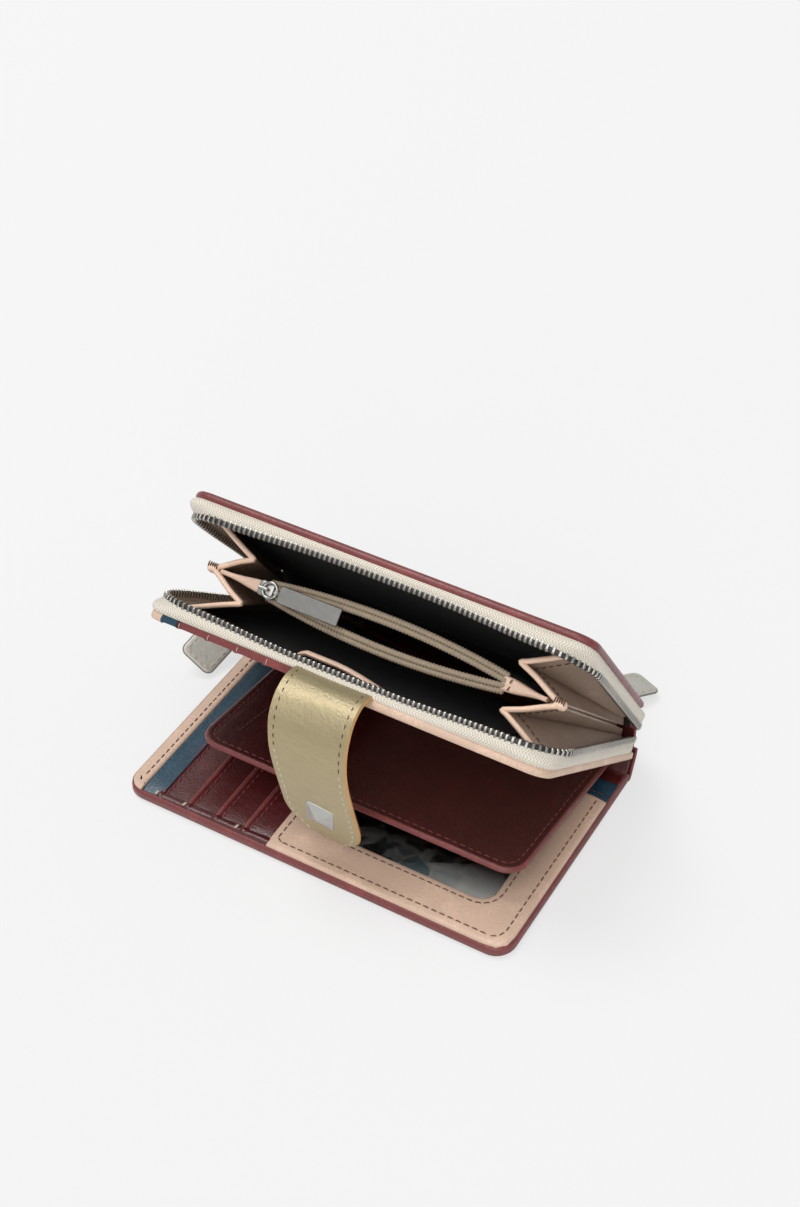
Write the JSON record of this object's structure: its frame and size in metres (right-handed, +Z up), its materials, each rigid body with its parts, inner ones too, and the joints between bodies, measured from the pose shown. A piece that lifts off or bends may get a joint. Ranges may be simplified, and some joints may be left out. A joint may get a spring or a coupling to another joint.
{
  "type": "coupon organizer wallet",
  "caption": "Leather wallet with a card side, a loose middle flap and a zip-around pouch that ends in the back cover, standing open like a fan on its front cover.",
  "frame": {"origin": "middle of the underside of the front cover, on which the open wallet rests", "axes": "+X along the spine, +Y from the front cover's free edge to the spine, +Z up from the resting face"},
  "size_m": [0.1676, 0.1418, 0.0995],
  "materials": {
    "burgundy_leather": "grained, semi-matt",
    "tan_leather": "grained, semi-matt",
    "teal_leather": "smooth, semi-matt",
    "gold_leather": "metallic coated, satin",
    "puller_leather": "metallic coated, satin",
    "dark_lining": "woven, matt",
    "window_lining": "woven, matt",
    "zip_tape": "woven tape, matt",
    "board": "plain board, matt",
    "clear_film": "clear plastic film, glossy",
    "zip_metal": "antique plated, satin",
    "steel": "plated, satin"
  },
  "bodies": {
    "front_cover": {"front_cover_shell": "burgundy_leather", "front_cover_board": "board", "front_cover_lining": "burgundy_leather", "tan_edge_strip": "tan_leather", "teal_slot": "teal_leather", "card_slot_1": "burgundy_leather", "card_slot_2": "burgundy_leather", "card_slot_3": "burgundy_leather", "card_slot_4": "burgundy_leather", "identity_frame": "tan_leather", "window_film": "clear_film", "window_lining": "window_lining", "teal_band": "teal_leather", "gutter_lining": "burgundy_leather", "snap_socket": "steel"},
    "spine": {"spine_strip": "burgundy_leather"},
    "middle_flap": {"flap_upper_leather": "burgundy_leather", "flap_lower_leather": "burgundy_leather"},
    "pouch_wall": {"pouch_wall_board": "board", "pouch_tan_edge": "tan_leather", "pouch_teal_slot": "teal_leather", "pouch_card_slot_1": "burgundy_leather", "pouch_card_slot_2": "burgundy_leather", "pouch_card_slot_3": "burgundy_leather", "pouch_card_slot_4": "burgundy_leather", "pouch_tan_panel": "tan_leather", "pouch_lining": "dark_lining", "pouch_base": "burgundy_leather", "slip_pocket": "dark_lining", "slip_pocket_binding": "tan_leather", "lower_zip_tape": "zip_tape", "lower_zip_teeth": "zip_metal"},
    "coin_pocket": {"coin_wall_lower": "dark_lining", "coin_wall_upper": "dark_lining", "coin_tape_lower": "zip_tape", "coin_tape_upper": "zip_tape", "coin_tab_left": "tan_leather", "coin_tab_right": "tan_leather", "gusset_left_lower": "tan_leather", "gusset_right_lower": "tan_leather"},
    "back_cover": {"back_cover_shell": "burgundy_leather", "back_cover_board": "board", "back_cover_lining": "dark_lining", "upper_zip_tape": "zip_tape", "upper_zip_teeth": "zip_metal", "gusset_left_upper": "tan_leather", "gusset_right_upper": "tan_leather"},
    "coin_slider": {"coin_slider": "steel"},
    "coin_pull": {"coin_pull_ring": "steel", "coin_pull_plate": "steel"},
    "left_slider": {"left_slider": "steel"},
    "left_ring": {"left_pull_ring": "steel"},
    "left_tag": {"left_pull_tag": "puller_leather"},
    "right_slider": {"right_slider": "steel"},
    "right_ring": {"right_pull_ring": "steel"},
    "right_tag": {"right_pull_tag": "puller_leather"},
    "strap_base": {"strap_base": "gold_leather"},
    "strap_tip": {"strap_tip": "gold_leather", "stud": "steel", "snap_ball": "steel"}
  },
  "joints": [
    {"name": "spine_fold", "type": "hinge", "parent": "front_cover", "child": "spine", "pos_m": [0, 0.0455, 0.0022], "axis": [1, 0, 0], "range_deg": [-50, 0]},
    {"name": "pouch_fold", "type": "hinge", "parent": "spine", "child": "pouch_wall", "pos_m": [0, 0.0475, 0.0098], "axis": [1, 0, 0], "range_deg": [0, 34]},
    {"name": "flap_turn", "type": "hinge", "parent": "spine", "child": "middle_flap", "pos_m": [0, 0.0469, 0.0069], "axis": [1, 0, 0], "range_deg": [0, 6.3]},
    {"name": "coin_turn", "type": "hinge", "parent": "pouch_wall", "child": "coin_pocket", "pos_m": [0, 0.05515, 0.01428], "axis": [1, 0, 0], "range_deg": [-6, 8.4], "deforming": ["gusset_left_lower", "gusset_right_lower"]},
    {"name": "back_turn", "type": "hinge", "parent": "coin_pocket", "child": "back_cover", "pos_m": [0, 0.05515, 0.01428], "axis": [1, 0, 0], "range_deg": [-6, 8.4], "deforming": ["gusset_left_upper", "gusset_right_upper"]},
    {"name": "coin_slide", "type": "slide", "parent": "coin_pocket", "child": "coin_slider", "axis": [1, 0, 0], "range_m": [0, 0.072]},
    {"name": "coin_pull_lift", "type": "hinge", "parent": "coin_slider", "child": "coin_pull", "pos_m": [-0.0386, -0.0081, 0.08093], "axis": [0, 0.7254, 0.6884], "range_deg": [-110, 0]},
    {"name": "left_slide", "type": "slide", "parent": "pouch_wall", "child": "left_slider", "axis": [0, -0.7891, 0.6143], "range_m": [0, 0.055]},
    {"name": "left_ring_swing", "type": "hinge", "parent": "left_slider", "child": "left_ring", "pos_m": [-0.0807, 0.0491, 0.01791], "axis": [1, 0, 0], "range_deg": [-34, 0]},
    {"name": "left_tag_lift", "type": "hinge", "parent": "left_ring", "child": "left_tag", "pos_m": [-0.0807, 0.04778, 0.01745], "axis": [1, 0, 0], "range_deg": [-34, 0]},
    {"name": "right_slide", "type": "slide", "parent": "pouch_wall", "child": "right_slider", "axis": [1, 0, 0], "range_m": [0, 0.015]},
    {"name": "right_ring_swing", "type": "hinge", "parent": "right_slider", "child": "right_ring", "pos_m": [0.044, 0.05965, 0.01078], "axis": [1, 0, 0], "range_deg": [0, 75]},
    {"name": "right_tag_lift", "type": "hinge", "parent": "right_ring", "child": "right_tag", "pos_m": [0.044, 0.061, 0.01042], "axis": [1, 0, 0], "range_deg": [0, 90]},
    {"name": "strap_fold", "type": "hinge", "parent": "pouch_wall", "child": "strap_base", "pos_m": [0, -0.02571, 0.06931], "axis": [1, 0, 0], "range_deg": [-92, 0]},
    {"name": "strap_flex", "type": "hinge", "parent": "strap_base", "child": "strap_tip", "pos_m": [0, -0.04516, 0.05355], "axis": [1, 0, 0], "range_deg": [-15, 3]}
  ],
  "couplings": [
    {"joint": "flap_turn", "follows": "pouch_fold", "ratio": 0.185},
    {"joint": "strap_fold", "follows": "pouch_fold", "ratio": -2.7},
    {"joint": "left_ring_swing", "follows": "pouch_fold", "ratio": -1},
    {"joint": "back_turn", "follows": "coin_turn", "ratio": 1},
    {"joint": "right_ring_swing", "follows": "spine_fold", "ratio": -1.5}
  ]
}
